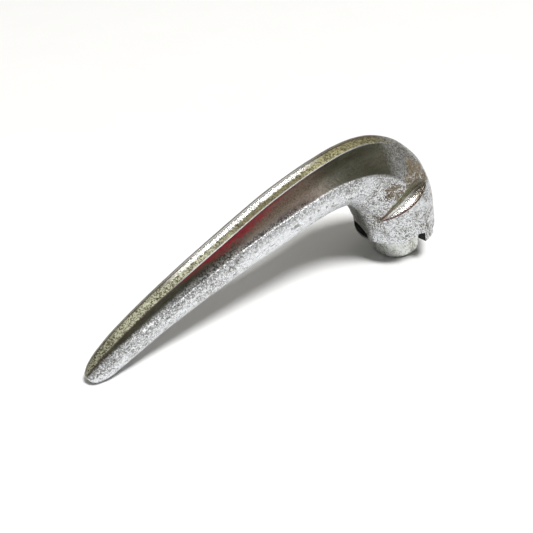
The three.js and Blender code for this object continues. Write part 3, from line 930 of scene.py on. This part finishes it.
# Rooms that light the object: where each leans to, the range of that lean, and its strength.
SOFT_ROOM = {"lean": (0.19, 0.0, 0.98), "range": (0.55, 1.0), "strength": (0.0, 0.66)}
MIRRORED_ROOM = {"lean": (0.10, 0.78, 0.62), "range": (0.12, 0.80), "strength": (0.03, 0.75)}
WARM = (1.0, 0.97, 0.88, 1.0)
NEUTRAL = (1.0, 1.0, 1.0, 1.0)


def ring_edge():
    """Radius of the ring's bottom edge, where it touches the floor, in metres."""
    return (NECK["radius"] - NECK["chamfer"]) * MM


def lying_tilt(points):
    """Tilt about Y at which the tip and the ring's edge both touch one flat surface."""
    edge = -ring_edge()
    arm = points[points[:, 0] < ARM_MIDDLE]
    low, high = 0.0, math.radians(30)
    halvings = 40
    for _ in range(halvings):
        tilt = (low + high) / 2
        lowest = (arm[:, 0] * math.sin(tilt) + arm[:, 2] * math.cos(tilt)).min()
        if lowest > edge * math.sin(tilt):
            low = tilt
        else:
            high = tilt
    return tilt


def light_the_world():
    """White behind the object; a dim room for soft light and a lighter one for reflections."""
    world = bpy.data.worlds.new("studio")
    bpy.context.scene.world = world
    world.use_nodes = True
    tree = world.node_tree
    tree.nodes.clear()
    out = tree.nodes.new("ShaderNodeOutputWorld")
    seen = tree.nodes.new("ShaderNodeLightPath")
    place = tree.nodes.new("ShaderNodeTexCoord")

    def room(shape, tint):
        dot = tree.nodes.new("ShaderNodeVectorMath")
        dot.operation = "DOT_PRODUCT"
        dot.inputs[1].default_value = shape["lean"]
        ramp = tree.nodes.new("ShaderNodeMapRange")
        ramp.inputs["From Min"].default_value, ramp.inputs["From Max"].default_value = shape["range"]
        ramp.inputs["To Min"].default_value, ramp.inputs["To Max"].default_value = shape["strength"]
        shade = tree.nodes.new("ShaderNodeBackground")
        shade.inputs["Color"].default_value = tint
        tree.links.new(place.outputs["Generated"], dot.inputs[0])
        tree.links.new(dot.outputs["Value"], ramp.inputs["Value"])
        tree.links.new(ramp.outputs[0], shade.inputs["Strength"])
        return shade.outputs[0]

    def choose(flag, otherwise, wanted):
        mix = tree.nodes.new("ShaderNodeMixShader")
        tree.links.new(seen.outputs[flag], mix.inputs[0])
        tree.links.new(otherwise, mix.inputs[1])
        tree.links.new(wanted, mix.inputs[2])
        return mix.outputs[0]

    white = tree.nodes.new("ShaderNodeBackground")
    lit = choose("Is Glossy Ray", room(SOFT_ROOM, WARM), room(MIRRORED_ROOM, NEUTRAL))
    tree.links.new(choose("Is Camera Ray", lit, white.outputs[0]), out.inputs[0])


def make_floor(lie, tilt):
    far = FLOOR_HALF
    corners = [(-far, -far, 0), (far, -far, 0), (far, far, 0), (-far, far, 0)]
    floor = add_object("floor", corners, [(0, 1, 2, 3)])
    floor.matrix_world = lie @ Matrix.Translation((ARM_MIDDLE, 0, -ring_edge() * math.sin(tilt)))
    floor.data.materials.append(floor_finish())


def make_key_lamp(lie):
    lamp = bpy.data.lights.new("key", "AREA")
    lamp.shape = "DISK"
    lamp.size = KEY_LAMP["size"]
    lamp.energy = KEY_LAMP["energy"]
    made = bpy.data.objects.new("key", lamp)
    bpy.context.scene.collection.objects.link(made)
    towards = (lie.to_3x3() @ Vector(KEY_LAMP["from"])).normalized()
    target = lie @ Vector((ARM_MIDDLE, 0, KEY_LAMP["aim_height"]))
    made.location = target + towards * KEY_LAMP["distance"]
    made.rotation_euler = towards.to_track_quat("Z", "Y").to_euler()


def make_stage(tilt):
    """Floor and lamp, tilted so that the part lies on the floor, and the world."""
    lie = Matrix.Rotation(tilt, 4, "Y")
    make_floor(lie, tilt)
    light_the_world()
    make_key_lamp(lie)


def floor_finish():
    """Plain pale paper, clear when looked at from below."""
    n = Nodes("pale_floor")
    grain = n.noise(40, 2, 0.5)
    n.finish(n.mix(grain, rgb(0.93, 0.93, 0.93), rgb(0.90, 0.90, 0.90)), 0.9, 0.0)
    facing = n.tree.nodes.new("ShaderNodeNewGeometry")
    clear = n.tree.nodes.new("ShaderNodeBsdfTransparent")
    choose = n.tree.nodes.new("ShaderNodeMixShader")
    n.link(facing.outputs["Backfacing"], choose.inputs[0])
    n.link(n.shader.outputs[0], choose.inputs[1])
    n.link(clear.outputs[0], choose.inputs[2])
    n.link(choose.outputs[0], n.output.inputs[0])
    return n.material


def make_camera(tilt):
    lie = Matrix.Rotation(tilt, 4, "Y")
    azimuth, elevation = math.radians(CAMERA["azimuth"]), math.radians(CAMERA["elevation"])
    back = Vector((-math.sin(azimuth) * math.cos(elevation),
                   -math.cos(azimuth) * math.cos(elevation), math.sin(elevation)))
    target = Vector(CAMERA["target_mm"]) * MM
    camera = bpy.data.objects.new("camera", bpy.data.cameras.new("camera"))
    bpy.context.scene.collection.objects.link(camera)
    camera.data.angle = math.radians(CAMERA["view"])
    pose = back.to_track_quat("Z", "Y").to_matrix().to_4x4()
    camera.matrix_world = lie @ Matrix.Translation(target + back * CAMERA["distance"]) @ pose
    bpy.context.scene.camera = camera


# ---- put together --------------------------------------------------------------------------------------

casting = make_casting()
dress_cad_pieces()
tilt = lying_tilt(vector_array(casting.data.vertices, "co"))
make_stage(tilt)
make_camera(tilt)
bpy.context.scene.view_settings.view_transform = "Standard"
